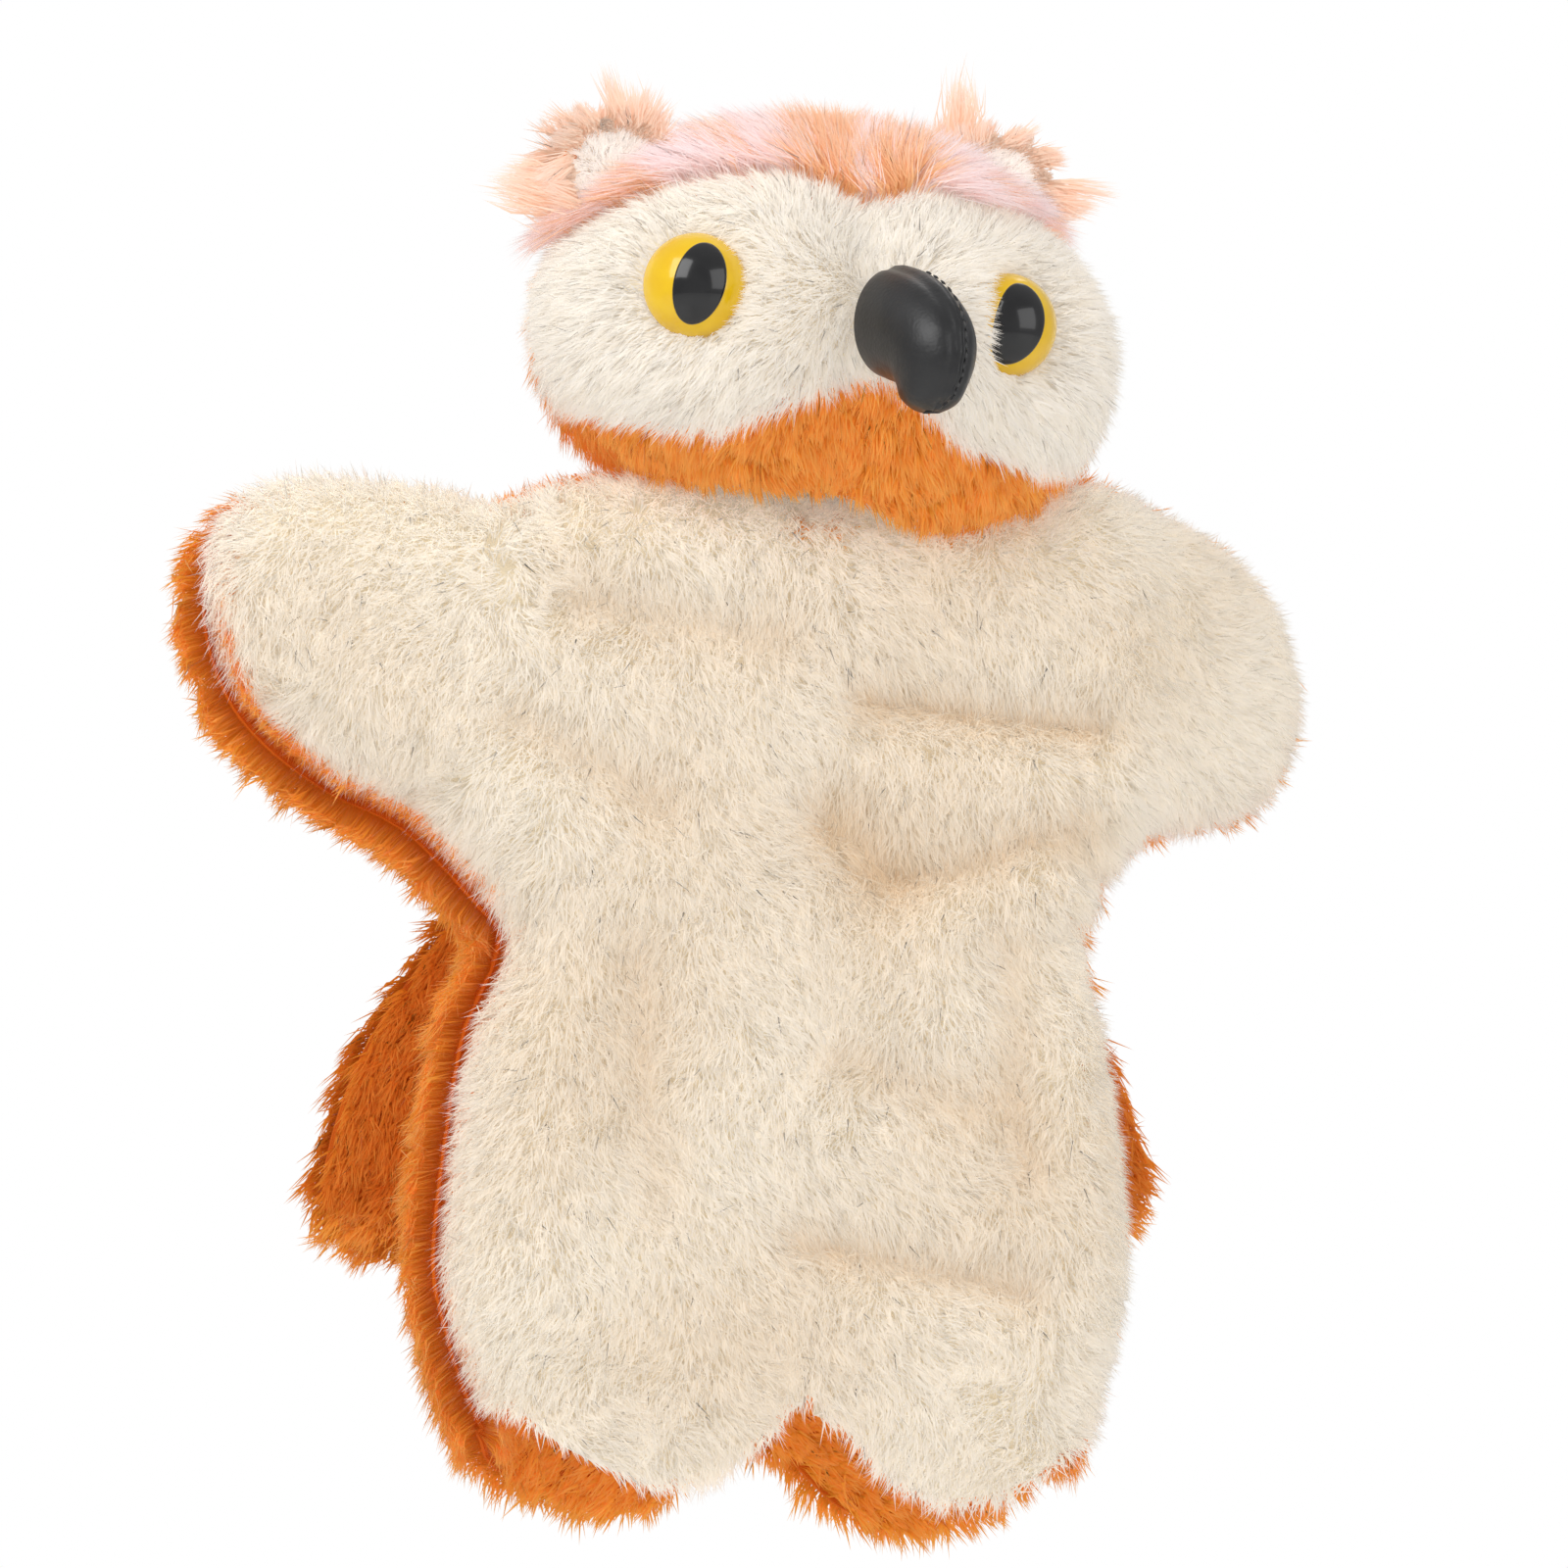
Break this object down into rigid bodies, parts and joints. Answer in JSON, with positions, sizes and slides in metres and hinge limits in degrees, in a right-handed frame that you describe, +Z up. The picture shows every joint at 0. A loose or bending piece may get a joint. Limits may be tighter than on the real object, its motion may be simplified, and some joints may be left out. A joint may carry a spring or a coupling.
{
  "type": "owl glove puppet",
  "caption": "Plush owl glove puppet with a stuffed turning head, two finger-worked wings, a hinged fan tail and a hand opening below.",
  "frame": {"origin": "centre of the hand opening, 1 mm below the lowest point of the back panel's leg lobes", "axes": "+Z up along the wrist towards the head, -Y out of the puppet's front, +X towards the puppet's own left wing"},
  "size_m": [0.2427, 0.1145, 0.2939],
  "materials": {
    "cream_plush": "short cream pile",
    "orange_plush": "orange pile with dark roots",
    "frosted_plush": "long pile, orange roots and pinkish-white tips",
    "white_plush": "off-white pile",
    "yellow_dome": "glossy moulded yellow",
    "black_pupil": "glossy black",
    "white_washer": "plain moulded white",
    "leatherette": "satin charcoal leatherette",
    "wadding": "white polyester fibre",
    "lining_cloth": "plain woven cotton",
    "thread": "dark sewing thread"
  },
  "bodies": {
    "body": {"front_body_panel": "cream_plush", "back_body_panel": "orange_plush"},
    "neck": {"neck_sleeve": "lining_cloth"},
    "head": {"face_right_panel": "cream_plush", "face_left_panel": "cream_plush", "chin_right_panel": "orange_plush", "chin_left_panel": "orange_plush", "crown_panel": "frosted_plush", "head_back_panel": "orange_plush", "head_stuffing": "wadding", "finger_tube": "lining_cloth", "beak_right_skin": "leatherette", "beak_left_skin": "leatherette", "beak_stuffing": "wadding", "beak_stitching": "thread", "right_eye_dome": "yellow_dome", "right_eye_pupil": "black_pupil", "right_eye_washer": "white_washer", "left_eye_dome": "yellow_dome", "left_eye_pupil": "black_pupil", "left_eye_washer": "white_washer"},
    "right_wing": {"right_wing_front": "cream_plush", "right_wing_back": "orange_plush"},
    "left_wing": {"left_wing_front": "cream_plush", "left_wing_back": "orange_plush"},
    "tail": {"tail_inner_panel": "orange_plush", "tail_wadding": "wadding", "tail_outer_panel": "orange_plush"},
    "right_ear": {"right_ear_inner": "white_plush", "right_ear_back": "frosted_plush"},
    "left_ear": {"left_ear_inner": "white_plush", "left_ear_back": "frosted_plush"}
  },
  "joints": [
    {"name": "head_turn", "type": "hinge", "parent": "body", "child": "neck", "pos_m": [0, -0.003, 0.205], "axis": [0, 0, 1], "range_deg": [-25, 25]},
    {"name": "head_nod", "type": "hinge", "parent": "neck", "child": "head", "pos_m": [0, -0.003, 0.205], "axis": [1, 0, 0], "range_deg": [-15, 15]},
    {"name": "right_wing_fold", "type": "hinge", "parent": "body", "child": "right_wing", "pos_m": [-0.062, -0.024, 0.174], "axis": [0, 0, 1], "range_deg": [0, 60]},
    {"name": "left_wing_fold", "type": "hinge", "parent": "body", "child": "left_wing", "pos_m": [0.062, -0.024, 0.174], "axis": [0, 0, -1], "range_deg": [0, 60]},
    {"name": "tail_lift", "type": "hinge", "parent": "body", "child": "tail", "pos_m": [0, 0.028, 0.137], "axis": [1, 0, 0], "range_deg": [0, 60]},
    {"name": "right_ear_flop", "type": "hinge", "parent": "head", "child": "right_ear", "pos_m": [-0.03529, -0.008, 0.27796], "axis": [0.8526, 0, 0.5225], "range_deg": [-20, 20], "stiffness_Nm_per_rad": 0.004},
    {"name": "left_ear_flop", "type": "hinge", "parent": "head", "child": "left_ear", "pos_m": [0.04578, -0.008, 0.27396], "axis": [0.7133, 0, -0.7009], "range_deg": [-20, 20], "stiffness_Nm_per_rad": 0.004}
  ]
}
